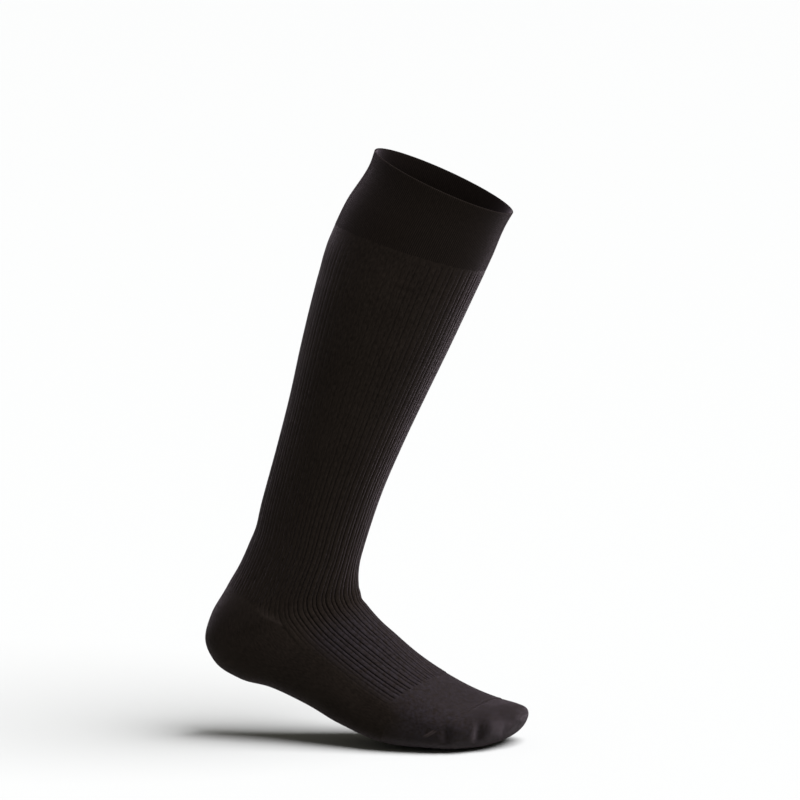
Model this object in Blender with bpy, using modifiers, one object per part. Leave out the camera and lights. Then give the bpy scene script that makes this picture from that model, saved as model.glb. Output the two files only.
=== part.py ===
"""A knee-high compression stocking, hollow, in the shape it keeps on a stepping leg.

The cloth is one smooth tube. It runs along a row of stations, each a flat ring given by its back
point, its front point and its width. A place on the cloth has two numbers: `run`, in millimetres
down the tube from the rim, and `wale`, which goes round it: 0 at the front, 0.5 on the side of
the inner ankle, 1 at the back, -0.5 on the side of the outer ankle. The five knitted sections are
cut out of that tube along seam lines, which are formulas that give run for each wale.

The stations are laid out with x from the back of the heel, y across and z from the floor. The
finished part has its origin at the middle of the cuff opening, toes to +X and the top up.
"""

from collections import namedtuple

import bmesh
import bpy
import numpy as np

MM = 0.001

# Cloth, in millimetres
WALL = 1.2           # cloth under a groove between two ribs
PLAIN_RISE = 0.3     # how far plain knit stands above the grooves
WIDE_RIB = 0.6       # how far a wide rib stands above the grooves
NARROW_RIB = 0.4     # how far a narrow rib stands above the grooves
SEAM_GAP = 0.5       # between two sections, square to their seam; 0.3 at its sharpest corners

# One repeat of the ribs: where its points lie across it, and how high each one stands
REPEATS = 38
RIB_ACROSS = np.array([0.0, 0.13, 0.47, 0.60, 0.80])
RIB_HEIGHT = np.array([0.0, WIDE_RIB, WIDE_RIB, 0.0, NARROW_RIB])
INNER_POINTS = [0, 2]   # which points of a repeat the plain inside has too

# Seam lines, in millimetres of run
CUFF_FRONT, CUFF_BACK = 52.0, 61.0      # depth of the cuff band at the front and the back
HEEL_APEX = 364.5                       # where the heel's edges meet on the side of the ankle
HEEL_TOP, HEEL_SOLE = 333.0, 396.0      # the heel pocket's edges on the back and on the sole
TOE_TOP, TOE_SIDE, TOE_SOLE = 491.5, 477.5, 490.0   # the toe cap's edge
TOE_SIDE_WALE = 0.4542                  # where that edge is furthest back, on a rib
TOE_UNDER = 0.34                        # wales it then takes to run forward under the foot

# Rows and columns of the walls
CUFF_ROWS, LEG_ROWS, HEEL_ROWS, FOOT_ROWS, TOE_ROWS = 4, 14, 8, 13, 9
CUFF_COLUMNS, SOLE_COLUMNS = 50, 28     # heel and toe keep the sole's spacing, so seams run even
LIP = 0.16              # part of the cuff band above its first row, where the rim flares
LEG_CROWDING = 0.35     # how much closer the leg's rows get towards the ankle
TOE_CROWDING = 1.5      # power by which the toe's rows get closer towards its tip
TIP_BULGE = 0.8         # how far the toe's last point stands out from its last ring

# Rings from the rim to the toe, in millimetres. mid_y moves a ring across, lean turns it so that
# the inner side runs ahead, sole squares its back half, and front_share is how much of the way
# round the front half of the stitches takes up.
Station = namedtuple(
    "Station", "name back_x back_z front_x front_z width mid_y lean sole front_share"
)
STATIONS = [
    Station("rim",       134.5, 452.0, 238.0, 405.0, 104,  0, 0.00, 2.0, 0.500),
    Station("lip",       131.5, 443.0, 233.5, 397.5, 103,  0, 0.00, 2.0, 0.500),
    Station("cuff",      112.0, 412.0, 221.5, 370.5, 105,  0, 0.00, 2.0, 0.500),
    Station("calf",       97.0, 378.0, 206.0, 337.5, 106,  0, 0.00, 2.0, 0.500),
    Station("low_calf",   87.0, 343.0, 189.5, 302.5, 102,  0, 0.00, 2.0, 0.500),
    Station("shin",       77.5, 305.0, 171.5, 265.5,  93,  0, 0.00, 2.0, 0.500),
    Station("low_shin",   68.0, 263.0, 153.0, 226.5,  83,  0, 0.00, 2.0, 0.500),
    Station("narrow",     57.5, 223.0, 137.5, 190.5,  74,  0, 0.00, 2.0, 0.500),
    Station("ankle",      46.5, 184.0, 125.0, 153.5,  66,  0, 0.00, 2.0, 0.500),
    Station("low_ankle",  38.5, 155.0, 120.5, 137.5,  63,  0, 0.00, 2.0, 0.500),
    Station("bend_1",     27.5, 132.0, 119.3, 129.0,  62,  0, 0.00, 2.0, 0.500),
    Station("bend_2",     16.0, 112.0, 119.2, 123.0,  62,  0, 0.00, 2.0, 0.493),
    Station("bend_3",      6.0,  94.5, 119.6, 118.5,  62,  0, 0.00, 2.1, 0.480),
    Station("bend_4",      1.0,  73.5, 120.5, 114.3,  62,  0, 0.00, 2.1, 0.460),
    Station("bend_5",      9.0,  57.0, 122.0, 109.0,  63,  0, 0.00, 2.2, 0.443),
    Station("bend_6",     28.0,  45.5, 127.0, 102.5,  64,  0, 0.00, 2.3, 0.460),
    Station("bend_7",     52.0,  40.0, 136.0,  92.5,  66,  0, 0.00, 2.4, 0.490),
    Station("arch",       80.0,  29.0, 147.5,  82.0,  71,  0, 0.05, 2.5, 0.505),
    Station("mid_foot",  112.0,  14.0, 163.0,  68.0,  78,  0, 0.12, 2.8, 0.495),
    Station("ball",      150.0,   2.5, 183.0,  53.0,  88,  0, 0.20, 3.2, 0.490),
    Station("toe_root",  186.0,   0.0, 204.0,  41.0,  88,  0, 0.26, 3.2, 0.490),
    Station("toes",      210.0,   0.0, 220.5,  34.5,  84,  1, 0.28, 3.0, 0.490),
    Station("toe_front", 229.0,   3.0, 235.0,  31.0,  64,  4, 0.28, 2.6, 0.490),
    Station("toe_end",   239.5,   9.5, 243.0,  28.0,  42,  8, 0.22, 2.3, 0.490),
    Station("tip",       245.0,  16.5, 246.5,  24.0,  22, 10, 0.15, 2.0, 0.500),
]

RINGS = np.array([station[1:] for station in STATIONS], float)
RIM = STATIONS[0]
ORIGIN = np.array([(RIM.back_x + RIM.front_x) / 2, 0.0, (RIM.back_z + RIM.front_z) / 2])
HALF_TURN = np.linspace(0.0, np.pi, 241)

CLOTH = {
    "cuff_band": (0.018, 0.017, 0.019),
    "leg_tube": (0.022, 0.020, 0.023),
    "heel_pocket": (0.019, 0.018, 0.020),
    "foot_tube": (0.022, 0.020, 0.023),
    "toe_cap": (0.020, 0.019, 0.021),
}


# ------------------------------------------------------------------ the smooth tube


def station_runs():
    """Run of each station: the mean of the steps along the front and along the back."""
    back = np.hypot(np.diff(RINGS[:, 0]), np.diff(RINGS[:, 1]))
    front = np.hypot(np.diff(RINGS[:, 2]), np.diff(RINGS[:, 3]))
    return np.concatenate([[0.0], np.cumsum((back + front) / 2)])


RUNS = station_runs()


def ring_at(run):
    """The station columns at any run: a cubic through the rings, with parabola tangents."""
    step = np.diff(RUNS)[:, None]
    slope = np.diff(RINGS, axis=0) / step
    tangent = np.empty_like(RINGS)
    tangent[1:-1] = (slope[:-1] * step[1:] + slope[1:] * step[:-1]) / (step[:-1] + step[1:])
    tangent[0] = 1.5 * slope[0] - 0.5 * tangent[1]
    tangent[-1] = 1.5 * slope[-1] - 0.5 * tangent[-2]
    before = np.clip(np.searchsorted(RUNS, run, side="right") - 1, 0, len(RUNS) - 2)
    long = step[before]
    u = (run[:, None] - RUNS[before][:, None]) / long
    return (
        (2 * u**3 - 3 * u**2 + 1) * RINGS[before]
        + (u**3 - 2 * u**2 + u) * long * tangent[before]
        + (3 * u**2 - 2 * u**3) * RINGS[before + 1]
        + (u**3 - u**2) * long * tangent[before + 1]
    )


def section(angle, sole):
    """A ring's shape, 1 at the front and -1 at the back: round in front, squarer behind."""
    power = np.where(np.cos(angle) >= 0, 1.0, 2.0 / sole)
    ahead = np.sign(np.cos(angle)) * np.abs(np.cos(angle)) ** power
    aside = np.abs(np.sin(angle)) ** power
    return ahead, aside


def angle_of_wale(wale, depth, width, sole, share):
    """The section angle of each wale, so that stitches keep an even width round each half."""
    ahead, aside = section(HALF_TURN[None, :], sole[:, None])
    piece = np.hypot(np.diff(ahead) * depth[:, None], np.diff(aside) * width[:, None])
    way = np.concatenate([np.zeros((len(piece), 1)), np.cumsum(piece, axis=1)], axis=1)
    way /= way[:, -1:]
    part = np.where(wale < 0.5, wale / 0.5 * share, share + (wale - 0.5) / 0.5 * (1 - share))
    return np.array([np.interp(p, w, HALF_TURN) for p, w in zip(part, way)])


def tube(run, wale):
    """Points of the smooth tube, in millimetres, for arrays of run and wale."""
    run, wale = np.broadcast_arrays(np.asarray(run, float), np.asarray(wale, float))
    shape = run.shape
    wale = (wale.ravel() + 1.0) % 2.0 - 1.0
    columns = ring_at(np.clip(run.ravel(), 0.0, RUNS[-1])).T
    back_x, back_z, front_x, front_z, width, mid_y, lean, sole, share = columns
    depth = np.hypot(front_x - back_x, front_z - back_z)
    angle = angle_of_wale(np.abs(wale), depth, width, sole, share)
    ahead, aside = section(angle, sole)
    across = aside * np.sign(wale) * width / 2
    x = (front_x + back_x) / 2 + ahead * (front_x - back_x) / 2 + lean * across
    z = (front_z + back_z) / 2 + ahead * (front_z - back_z) / 2
    return np.stack([x, mid_y + across, z], axis=-1).reshape(shape + (3,))


def slopes(run, wale):
    """How a point moves for one unit more run, and for one unit more wale."""
    small_run, small_wale = 0.4, 0.002
    ahead = np.minimum(run + small_run, RUNS[-1])
    behind = np.maximum(run - small_run, 0.0)
    along = (tube(ahead, wale) - tube(behind, wale)) / (ahead - behind)[..., None]
    around = (tube(run, wale + small_wale) - tube(run, wale - small_wale)) / (2 * small_wale)
    return along, around


def cloth(run, wale, rise):
    """Points that stand `rise` millimetres out from the tube, in metres from the part's origin."""
    run, wale, rise = np.broadcast_arrays(run, wale, rise)
    along, around = slopes(run, wale)
    normal = np.cross(along, around)
    normal /= np.linalg.norm(normal, axis=-1, keepdims=True)
    return (tube(run, wale) + normal * rise[..., None] - ORIGIN) * MM


# ------------------------------------------------------------------ the seam lines


def cuff_edge(wale):
    """The cuff band's lower edge, deeper at the back."""
    return CUFF_FRONT + (CUFF_BACK - CUFF_FRONT) * folded(wale) ** 2


def heel_edge(wale, end):
    """The heel pocket's edge: from its apex it falls away steeply, then runs level to `end`."""
    behind = np.clip((folded(wale) - 0.5) / 0.5, 0.0, 1.0)
    return end + (HEEL_APEX - end) * (1 - behind) ** 3


def toe_edge(wale):
    """The toe cap's edge: furthest back on the sides, forward on the top and the sole."""
    side = folded(wale)
    over = TOE_TOP + (TOE_SIDE - TOE_TOP) * np.clip(side / TOE_SIDE_WALE, 0, 1) ** 1.6
    under = np.clip((side - TOE_SIDE_WALE) / TOE_UNDER, 0.0, 1.0)
    return over + (TOE_SOLE - TOE_SIDE) * under**2 * (3 - 2 * under)


def folded(wale):
    """The wale counted from the front on either side, 0 to 1."""
    return np.abs((np.asarray(wale, float) + 1.0) % 2.0 - 1.0)


def off_seam(edge, wale, side):
    """The seam line `edge`, moved half the gap up the tube (side -1) or down it (side 1)."""
    small = 0.004
    run = edge(wale)
    line = cloth(edge(wale + small), wale + small, 0.0) - cloth(edge(wale - small), wale - small, 0.0)
    line /= np.linalg.norm(line, axis=-1, keepdims=True)
    along = slopes(run, wale)[0]
    return run + side * SEAM_GAP / 2 / np.linalg.norm(np.cross(along, line), axis=-1)


# ------------------------------------------------------------------ building the walls


def rib_wales(first, repeats):
    """Wales of the rib points from `first` on, how high each one stands, and the inside's wales."""
    pitch = 2.0 / REPEATS
    wales = first + pitch * (np.arange(repeats)[:, None] + RIB_ACROSS[None, :])
    return wales.ravel(), np.tile(RIB_HEIGHT, repeats), wales[:, INNER_POINTS].ravel()


def rows_between(top, bottom, spread):
    """Runs from one line of runs to another, a row for each number in `spread`."""
    return top[None, :] + (bottom - top)[None, :] * spread[:, None]


def add_grid(mesh, points, closed):
    """Adds a grid of vertices and the quads between them; `closed` joins the last column to the
    first. Returns the rows of vertices."""
    rows = [[mesh.verts.new(point) for point in row] for row in points]
    count = len(rows[0])
    for upper, lower in zip(rows[:-1], rows[1:]):
        for a in range(count if closed else count - 1):
            b = (a + 1) % count
            mesh.faces.new((upper[a], upper[b], lower[b], lower[a]))
    return rows


def zip_rings(mesh, outer, outer_wales, inner, inner_wales):
    """Fills between two closed rings of unlike counts, always stepping along the one behind."""
    turn = inner_wales[0] + 2.0
    outer, outer_wales = outer + outer[:1], np.append(outer_wales, turn)
    inner, inner_wales = inner + inner[:1], np.append(inner_wales, turn)
    a = b = 0
    while a < len(outer) - 1 or b < len(inner) - 1:
        step_outer = b == len(inner) - 1 or (
            a < len(outer) - 1 and outer_wales[a + 1] <= inner_wales[b + 1] + 1e-9
        )
        if step_outer:
            mesh.faces.new((outer[a], outer[a + 1], inner[b]))
            a += 1
        else:
            mesh.faces.new((outer[a], inner[b + 1], inner[b]))
            b += 1


def finish(name, mesh, collection):
    """Turns a bmesh into a named object with its own cloth."""
    bmesh.ops.recalc_face_normals(mesh, faces=mesh.faces)
    data = bpy.data.meshes.new(name)
    mesh.to_mesh(data)
    mesh.free()
    data.shade_smooth()
    data.materials.append(cloth_material(name))
    made = bpy.data.objects.new(name, data)
    collection.objects.link(made)
    return made


def cloth_material(name):
    """Matt knitted nylon of one colour."""
    material = bpy.data.materials.new(name + "_cloth")
    material.use_nodes = True
    surface = material.node_tree.nodes["Principled BSDF"]
    surface.inputs["Base Color"].default_value = (*CLOTH[name], 1.0)
    surface.inputs["Roughness"].default_value = 0.8
    surface.inputs["Metallic"].default_value = 0.0
    return material


def ribbed_wall(name, collection, top, bottom, spread, outer_wales, heights, inner_wales):
    """A tube with ribs outside and a plain inside, open at both ends. It is a loft between
    sections that are unlike: the outer ring has the ribs' points, the inner one only the cloth's."""
    mesh = bmesh.new()
    skins = []
    for wales, rise in ((outer_wales, heights), (inner_wales, np.full(len(inner_wales), -WALL))):
        runs = rows_between(off_seam(top, wales, 1), off_seam(bottom, wales, -1), spread)
        skins.append(add_grid(mesh, cloth(runs, wales[None, :], rise[None, :]), closed=True))
    outer, inner = skins
    for end in (0, -1):
        zip_rings(mesh, outer[end], outer_wales, inner[end], inner_wales)
    finish(name, mesh, collection)


def plain_wall(name, collection, runs, wales, closed, tip=False):
    """A plain section: its outer face as an open surface, thickened inwards by Solidify."""
    mesh = bmesh.new()
    rows = add_grid(mesh, cloth(runs, wales[None, :], PLAIN_RISE), closed)
    if tip:
        close_tip(mesh, rows[-1])
    made = finish(name, mesh, collection)
    wall = made.modifiers.new("cloth", "SOLIDIFY")
    wall.thickness = (WALL + PLAIN_RISE) * MM
    wall.offset = -1.0


def close_tip(mesh, ring):
    """Closes the toe's last ring with a fan to one point just ahead of its middle."""
    middle = np.mean([vertex.co for vertex in ring], axis=0)
    point = mesh.verts.new(middle + np.array([TIP_BULGE * MM, 0.0, 0.0]))
    for a, vertex in enumerate(ring):
        mesh.faces.new((vertex, ring[(a + 1) % len(ring)], point))


# ------------------------------------------------------------------ the five sections


def cuff_band(collection):
    """The plain band under the knee, from the rim to the first ribs."""
    wales = -0.5 + np.arange(CUFF_COLUMNS) * 2.0 / CUFF_COLUMNS
    spread = np.append(0.0, np.linspace(LIP, 1.0, CUFF_ROWS))
    runs = rows_between(np.zeros(CUFF_COLUMNS), off_seam(cuff_edge, wales, -1), spread)
    plain_wall("cuff_band", collection, runs, wales, closed=True)


def leg_tube(collection):
    """The ribbed leg, down to the heel behind and to the ankle's bend in front."""
    outer_wales, heights, inner_wales = rib_wales(-0.5, REPEATS)
    even = np.linspace(0.0, 1.0, LEG_ROWS + 1)
    spread = even * (1 + LEG_CROWDING * (1 - even))
    ribbed_wall(
        "leg_tube", collection, cuff_edge, lambda wale: heel_edge(wale, HEEL_TOP), spread,
        outer_wales, heights, inner_wales,
    )


def heel_pocket(collection):
    """The plain pocket round the heel, between its two edges and a column short of their ends."""
    wales = 0.5 + np.arange(1, SOLE_COLUMNS) / SOLE_COLUMNS
    top = off_seam(lambda wale: heel_edge(wale, HEEL_TOP), wales, 1)
    bottom = off_seam(lambda wale: heel_edge(wale, HEEL_SOLE), wales, -1)
    runs = rows_between(top, bottom, np.linspace(0.0, 1.0, HEEL_ROWS + 1))
    plain_wall("heel_pocket", collection, runs, wales, closed=False)


def foot_tube(collection):
    """The foot: ribbed over the instep, plain under the sole."""
    instep, heights, under_instep = rib_wales(-0.5, REPEATS // 2)
    sole = 0.5 + np.arange(SOLE_COLUMNS) / SOLE_COLUMNS
    outer_wales = np.concatenate([instep, sole])
    sole_heights = np.full(SOLE_COLUMNS, PLAIN_RISE)
    sole_heights[0] = 0.0
    inner_wales = np.concatenate([under_instep, sole])
    ribbed_wall(
        "foot_tube", collection, lambda wale: heel_edge(wale, HEEL_SOLE), toe_edge,
        np.linspace(0.0, 1.0, FOOT_ROWS + 1),
        outer_wales, np.concatenate([heights, sole_heights]), inner_wales,
    )


def toe_cap(collection):
    """The plain toe, closed at its tip."""
    wales = -0.5 + np.arange(2 * SOLE_COLUMNS) / SOLE_COLUMNS
    spread = 1 - (1 - np.linspace(0.0, 1.0, TOE_ROWS + 1)) ** TOE_CROWDING
    runs = rows_between(off_seam(toe_edge, wales, 1), np.full(len(wales), RUNS[-1]), spread)
    plain_wall("toe_cap", collection, runs, wales, closed=True, tip=True)


def main():
    for old in list(bpy.data.objects):
        bpy.data.objects.remove(old, do_unlink=True)
    collection = bpy.data.collections.new("compression_stocking")
    bpy.context.scene.collection.children.link(collection)
    for section_of in (cuff_band, leg_tube, heel_pocket, foot_tube, toe_cap):
        section_of(collection)


main()
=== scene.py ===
# %% [markdown]
# # A compression stocking
#
# A compression stocking is knitted as one tube, from the band under the knee to the toe. Its five
# sections differ only in how they are knitted: a double band, a ribbed leg, a heel pocket, a ribbed
# foot with a plain sole, and a plain toe. Here each section is a thin sheet of cloth on one smooth
# tube, so the sections meet exactly, as they do when a machine knits one after the other.

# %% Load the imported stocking
import math

import bpy
import numpy as np
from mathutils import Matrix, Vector


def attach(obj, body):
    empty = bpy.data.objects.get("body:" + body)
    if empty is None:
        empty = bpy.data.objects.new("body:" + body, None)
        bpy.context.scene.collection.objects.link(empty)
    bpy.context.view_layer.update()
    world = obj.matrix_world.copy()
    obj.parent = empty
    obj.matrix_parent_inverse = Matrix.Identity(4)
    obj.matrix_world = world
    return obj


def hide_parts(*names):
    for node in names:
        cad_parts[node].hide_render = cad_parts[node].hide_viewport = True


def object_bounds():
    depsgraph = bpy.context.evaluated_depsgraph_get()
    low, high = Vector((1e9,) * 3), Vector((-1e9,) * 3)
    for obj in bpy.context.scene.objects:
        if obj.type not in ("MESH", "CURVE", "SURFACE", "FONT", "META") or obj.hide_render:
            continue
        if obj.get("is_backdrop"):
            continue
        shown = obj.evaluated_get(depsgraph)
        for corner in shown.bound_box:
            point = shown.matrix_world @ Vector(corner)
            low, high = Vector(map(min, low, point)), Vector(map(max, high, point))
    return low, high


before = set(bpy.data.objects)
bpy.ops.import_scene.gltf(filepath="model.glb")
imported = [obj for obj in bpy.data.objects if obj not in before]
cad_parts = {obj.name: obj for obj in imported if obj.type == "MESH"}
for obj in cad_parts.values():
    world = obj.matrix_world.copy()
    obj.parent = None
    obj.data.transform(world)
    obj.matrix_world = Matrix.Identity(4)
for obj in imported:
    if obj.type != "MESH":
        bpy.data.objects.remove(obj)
cad_low, cad_high = (list(corner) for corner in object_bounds())
MM = 0.001
print("solids:", sorted(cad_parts))
print("box in mm:", [round((b - a) / MM, 1) for a, b in zip(cad_low, cad_high)])

# %% [markdown]
# ## Camera
#
# A stocking is best seen from far off through a long lens, so that the leg and the foot keep their
# proportions. The camera stands four metres away, a little ahead of the stocking's side and a
# little above it. Its lens is worked out from how wide a strip it should see at that distance.

# %% Place the camera
VIEW_TURN, VIEW_RISE = math.radians(12.0), math.radians(7.0)
VIEW_DISTANCE, SEEN_WIDTH, SENSOR = 4.0, 0.604, 36.0
VIEW_AIM = Vector((-0.03385, 0.0, -0.1665))


def direction(turn, rise):
    """The direction from the stocking to something turned from -Y towards +X, and raised."""
    flat = math.cos(rise)
    return Vector((math.sin(turn) * flat, -math.cos(turn) * flat, math.sin(rise)))


lens_data = bpy.data.cameras.new("long_lens")
lens_data.sensor_width = SENSOR
lens_data.lens = SENSOR * VIEW_DISTANCE / SEEN_WIDTH
camera = bpy.data.objects.new("long_lens", lens_data)
back = direction(VIEW_TURN, VIEW_RISE)
camera.location = VIEW_AIM + back * VIEW_DISTANCE
camera.rotation_euler = back.to_track_quat("Z", "Y").to_euler()
bpy.context.scene.collection.objects.link(camera)
bpy.context.scene.camera = camera
print("lens in mm:", round(lens_data.lens, 1))

# %% [markdown]
# ## Floor and light
#
# Black cloth is lit best against white: it takes its shape from soft reflections, not from its
# colour. The floor is one pale disc that runs out of view. A very broad lamp ahead of the toes and
# high up lights the shin, the instep and the toe. A dim, slightly warm sky and the bright floor
# fill in the side that faces the camera. The lamp is a sun with a wide disc, because that lights
# the whole floor evenly and leaves only a soft shadow under the raised heel. The sky lights the
# cloth dimly, but where a low view looks over the floor's far edge it is as pale as the floor.

# %% Lay the floor
FLOOR_GAP, FLOOR_REACH, FLOOR_POINTS = 0.0002, 60.0, 64
FLOOR_PAPER, FLOOR_ROUGHNESS, FLOOR_GLOSS = (0.405, 0.430, 0.388), 0.9, 0.2


def plain_material(name, colour, roughness, gloss):
    """A Principled material of one colour."""
    made = bpy.data.materials.new(name)
    made.use_nodes = True
    surface = made.node_tree.nodes["Principled BSDF"]
    surface.inputs["Base Color"].default_value = (*colour, 1.0)
    surface.inputs["Roughness"].default_value = roughness
    surface.inputs["Specular IOR Level"].default_value = gloss
    return made


def pale_floor(level):
    """A wide disc of pale paper at one height: points evenly round a circle, under one face."""
    turn = np.linspace(0.0, 2 * np.pi, FLOOR_POINTS, endpoint=False)
    ring = np.stack([np.cos(turn), np.sin(turn), np.zeros(FLOOR_POINTS)], -1) * FLOOR_REACH
    ring[:, 2] = level
    data = bpy.data.meshes.new("floor")
    data.from_pydata(ring.tolist(), [], [list(range(FLOOR_POINTS))])
    data.materials.append(plain_material("floor_paper", FLOOR_PAPER, FLOOR_ROUGHNESS, FLOOR_GLOSS))
    made = bpy.data.objects.new("floor", data)
    bpy.context.scene.collection.objects.link(made)
    return made


pale_floor(cad_low[2] - FLOOR_GAP)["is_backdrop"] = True
print("floor below the origin in mm:", round((FLOOR_GAP - cad_low[2]) / MM, 1))

# %% Set the lamp
def sun(name, turn, rise, strength, disc, colour):
    """A sun that shines from the given side; disc is its width in degrees."""
    data = bpy.data.lights.new(name, "SUN")
    data.energy, data.angle, data.color = strength, math.radians(disc), colour
    made = bpy.data.objects.new(name, data)
    source = direction(math.radians(turn), math.radians(rise))
    made.rotation_euler = source.to_track_quat("Z", "Y").to_euler()
    bpy.context.scene.collection.objects.link(made)
    return made


key = sun("key", turn=76.0, rise=58.0, strength=8.5, disc=52.0, colour=(1.0, 0.95, 1.06))
print("lamp:", key.name, "width in degrees:", round(math.degrees(key.data.angle)))

# %% Hang the sky
SKY_LIGHT, SKY_STRENGTH, SKY_SEEN = (1.0, 0.93, 0.88), 0.17, (0.98, 0.99, 0.98)


def pale_sky(light, strength, seen):
    """A sky that lights things with one colour and shows another to a direct look."""
    made = bpy.data.worlds.new("sky")
    made.use_nodes = True
    tree = made.node_tree
    dim, white = tree.nodes["Background"], tree.nodes.new("ShaderNodeBackground")
    dim.inputs["Color"].default_value = (*light, 1.0)
    dim.inputs["Strength"].default_value = strength
    white.inputs["Color"].default_value = (*seen, 1.0)
    path, choice = tree.nodes.new("ShaderNodeLightPath"), tree.nodes.new("ShaderNodeMixShader")
    tree.links.new(path.outputs["Is Camera Ray"], choice.inputs[0])
    tree.links.new(dim.outputs[0], choice.inputs[1])
    tree.links.new(white.outputs[0], choice.inputs[2])
    tree.links.new(choice.outputs[0], tree.nodes["World Output"].inputs["Surface"])
    return made


bpy.context.scene.world = pale_sky(SKY_LIGHT, SKY_STRENGTH, SKY_SEEN)
bpy.context.scene.view_settings.view_transform = "Standard"
print("sky light:", SKY_STRENGTH)

# %% [markdown]
# ## The tube that all the cloth lies on
#
# The worn stocking is one bent tube. It could be sculpted, or drawn as a few profiles, but a formula
# lets every section lie on exactly the same surface. A place on the cloth has two numbers: run, the
# millimetres down the tube from the rim, and wale, which goes round it: 0 at the front, 0.5 at the
# inner side, 1 at the back and -0.5 at the outer side. A wale is what knitters call a column of
# stitches, and these columns do keep to such lines. The tube is given by flat rings at stations, in
# millimetres with x from the back of the heel and z from the floor, and smooth curves join them.

# %% The stations of the tube
COLUMNS = "back_x back_z front_x front_z width mid_y lean sole front_share".split()
STATIONS = np.array([
    (134.5, 452.0, 238.0, 405.0, 104, 0, 0.00, 2.0, 0.500),   # rim
    (131.5, 443.0, 233.5, 397.5, 103, 0, 0.00, 2.0, 0.500),
    (112.0, 412.0, 221.5, 370.5, 105, 0, 0.00, 2.0, 0.500),
    (97.0, 378.0, 206.0, 337.5, 106, 0, 0.00, 2.0, 0.500),    # calf
    (87.0, 343.0, 189.5, 302.5, 102, 0, 0.00, 2.0, 0.500),
    (77.5, 305.0, 171.5, 265.5, 93, 0, 0.00, 2.0, 0.500),
    (68.0, 263.0, 153.0, 226.5, 83, 0, 0.00, 2.0, 0.500),
    (57.5, 223.0, 137.5, 190.5, 74, 0, 0.00, 2.0, 0.500),     # narrowest
    (46.5, 184.0, 125.0, 153.5, 66, 0, 0.00, 2.0, 0.500),
    (38.5, 155.0, 120.5, 137.5, 63, 0, 0.00, 2.0, 0.500),
    (27.5, 132.0, 119.3, 129.0, 62, 0, 0.00, 2.0, 0.500),     # the ankle's bend
    (16.0, 112.0, 119.2, 123.0, 62, 0, 0.00, 2.0, 0.493),
    (6.0, 94.5, 119.6, 118.5, 62, 0, 0.00, 2.1, 0.480),
    (1.0, 73.5, 120.5, 114.3, 62, 0, 0.00, 2.1, 0.460),
    (9.0, 57.0, 122.0, 109.0, 63, 0, 0.00, 2.2, 0.443),
    (28.0, 45.5, 127.0, 102.5, 64, 0, 0.00, 2.3, 0.460),
    (52.0, 40.0, 136.0, 92.5, 66, 0, 0.00, 2.4, 0.490),
    (80.0, 29.0, 147.5, 82.0, 71, 0, 0.05, 2.5, 0.505),       # arch
    (112.0, 14.0, 163.0, 68.0, 78, 0, 0.12, 2.8, 0.495),
    (150.0, 2.5, 183.0, 53.0, 88, 0, 0.20, 3.2, 0.490),       # ball of the foot
    (186.0, 0.0, 204.0, 41.0, 88, 0, 0.26, 3.2, 0.490),
    (210.0, 0.0, 220.5, 34.5, 84, 1, 0.28, 3.0, 0.490),       # toes
    (229.0, 3.0, 235.0, 31.0, 64, 4, 0.28, 2.6, 0.490),
    (239.5, 9.5, 243.0, 28.0, 42, 8, 0.22, 2.3, 0.490),
    (245.0, 16.5, 246.5, 24.0, 22, 10, 0.15, 2.0, 0.500),     # tip
])
ORIGIN = np.array([STATIONS[0, [0, 2]].mean(), 0.0, STATIONS[0, [1, 3]].mean()])
steps = [np.hypot(*np.diff(STATIONS[:, [a, a + 1]], axis=0).T) for a in (0, 2)]
RUNS = np.append(0.0, np.cumsum(sum(steps) / 2))
LAST = RUNS[-1]
print("stations:", len(RUNS), "length of the tube in mm:", round(LAST, 1))


# %% Rings between the stations
def ring_at(run):
    """Station columns at any run: a cubic from each ring to the next, with the slope at a ring
    that of a parabola through it and its neighbours. Returns one row for each run."""
    step = np.diff(RUNS)[:, None]
    slope = np.diff(STATIONS, axis=0) / step
    tangent = np.empty_like(STATIONS)
    tangent[1:-1] = (slope[:-1] * step[1:] + slope[1:] * step[:-1]) / (step[:-1] + step[1:])
    tangent[0] = 1.5 * slope[0] - 0.5 * tangent[1]
    tangent[-1] = 1.5 * slope[-1] - 0.5 * tangent[-2]
    before = np.clip(np.searchsorted(RUNS, run, side="right") - 1, 0, len(RUNS) - 2)
    u = ((run - RUNS[before]) / step[before, 0])[:, None]
    return (
        (2 * u**3 - 3 * u**2 + 1) * STATIONS[before]
        + (u**3 - 2 * u**2 + u) * step[before] * tangent[before]
        + (3 * u**2 - 2 * u**3) * STATIONS[before + 1]
        + (u**3 - u**2) * step[before] * tangent[before + 1]
    )


def section(angle, sole):
    """An oval, 1 in front and -1 behind, with the back half squarer where sole is over 2:
    cosine and sine, each to the power 2 / sole."""
    power = np.where(np.cos(angle) >= 0, 1.0, 2.0 / sole)
    ahead = np.sign(np.cos(angle)) * np.abs(np.cos(angle)) ** power
    return ahead, np.abs(np.sin(angle)) ** power


print("width half-way down in mm:", round(ring_at(np.array([LAST / 2]))[0, COLUMNS.index("width")], 1))

# %% Stitches of even width round each ring
TABLE_STEP, TABLE_PARTS = 1.0, 400


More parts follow.
